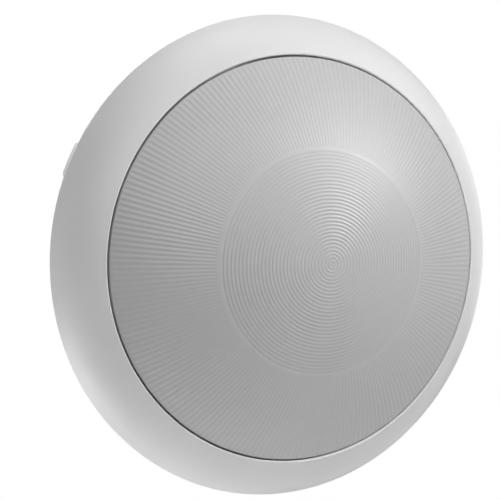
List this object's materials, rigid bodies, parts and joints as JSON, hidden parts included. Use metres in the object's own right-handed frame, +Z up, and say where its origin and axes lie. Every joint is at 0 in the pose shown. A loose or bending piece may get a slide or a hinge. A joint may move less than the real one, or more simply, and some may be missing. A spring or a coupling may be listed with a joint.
{
  "type": "horn strobe",
  "caption": "Round wall-mounted horn strobe: domed fluted lens in a convex bezel, on a head that twists off a mounting plate with a release latch.",
  "frame": {"origin": "centre of the mounting plate's back face, on the wall", "axes": "+Y into the wall, -Y out of the front of the lens, +Z up, +X to the right as seen from the front"},
  "size_m": [0.173, 0.0447, 0.173],
  "materials": {
    "bezel_plastic": "satin white polycarbonate, finely textured",
    "housing_plastic": "white moulded polycarbonate",
    "plate_plastic": "white moulded plate",
    "lens_plastic": "translucent, fluted outside and ring-grooved in the middle",
    "black_plastic": "moulded, dull",
    "switch_plastic": "moulded, dull",
    "selector_plastic": "moulded, orange",
    "contact_brass": "spring brass, tinned",
    "copper_winding": "enamelled copper wire",
    "plated_steel": "zinc plated",
    "spring_steel": "drawn wire",
    "bare_aluminium": "turned",
    "gasket_rubber": "grey silicone",
    "circuit_board": "green solder mask over glass laminate",
    "led_board_white": "white solder mask over aluminium",
    "led_ceramic": "sintered white",
    "led_silicone": "clear silicone over phosphor",
    "reflector_plastic": "high-gloss white",
    "piezo_ceramic": "silvered",
    "capacitor_sleeve": "shrink sleeve",
    "ferrite": "dull ferrite"
  },
  "bodies": {
    "base": {"mounting_plate": "plate_plastic", "terminal_block": "black_plastic", "terminal_contacts": "contact_brass", "terminal_clamps": "plated_steel", "terminal_screws": "plated_steel", "latch_spring": "spring_steel"},
    "latch": {"release_latch": "plate_plastic"},
    "candela_knob": {"candela_selector": "selector_plastic"},
    "tone_knob": {"tone_selector": "selector_plastic"},
    "volume_knob": {"volume_slider": "selector_plastic"},
    "head": {"rear_housing": "housing_plastic", "bezel": "bezel_plastic", "bezel_screws": "plated_steel", "lens": "lens_plastic", "lens_gasket": "gasket_rubber", "main_board": "circuit_board", "board_screws": "plated_steel", "contact_blades": "contact_brass", "heat_spreader": "bare_aluminium", "led_board": "led_board_white", "led_screws": "plated_steel", "led_packages": "led_ceramic", "led_domes": "led_silicone", "link_pins": "contact_brass", "reflector": "reflector_plastic", "controller_chip": "black_plastic", "horn_body": "black_plastic", "horn_diaphragm": "contact_brass", "piezo_disc": "piezo_ceramic", "horn_cap": "black_plastic", "storage_capacitors": "capacitor_sleeve", "inductor_core": "ferrite", "inductor_coil": "copper_winding", "horn_transformer": "ferrite", "candela_switch": "switch_plastic", "tone_switch": "switch_plastic", "volume_switch": "switch_plastic"}
  },
  "joints": [
    {"name": "head_twist", "type": "hinge", "parent": "base", "child": "head", "pos_m": [0, 0, 0], "axis": [0, -1, 0], "range_deg": [0, 20]},
    {"name": "latch_press", "type": "slide", "parent": "base", "child": "latch", "axis": [0.9125, 0, -0.4091], "range_m": [0, 0.0025], "stiffness_N_per_m": 600, "springref_m": -0.002, "deforming": ["latch_spring"]},
    {"name": "candela_turn", "type": "hinge", "parent": "head", "child": "candela_knob", "pos_m": [-0.04999, 0, -0.01819], "axis": [0, 1, 0], "range_deg": [0, 120]},
    {"name": "tone_turn", "type": "hinge", "parent": "head", "child": "tone_knob", "pos_m": [-0.04999, 0, 0.01819], "axis": [0, 1, 0], "range_deg": [0, 270]},
    {"name": "volume_slide", "type": "slide", "parent": "head", "child": "volume_knob", "axis": [-1, 0, 0], "range_m": [0, 0.003]}
  ]
}
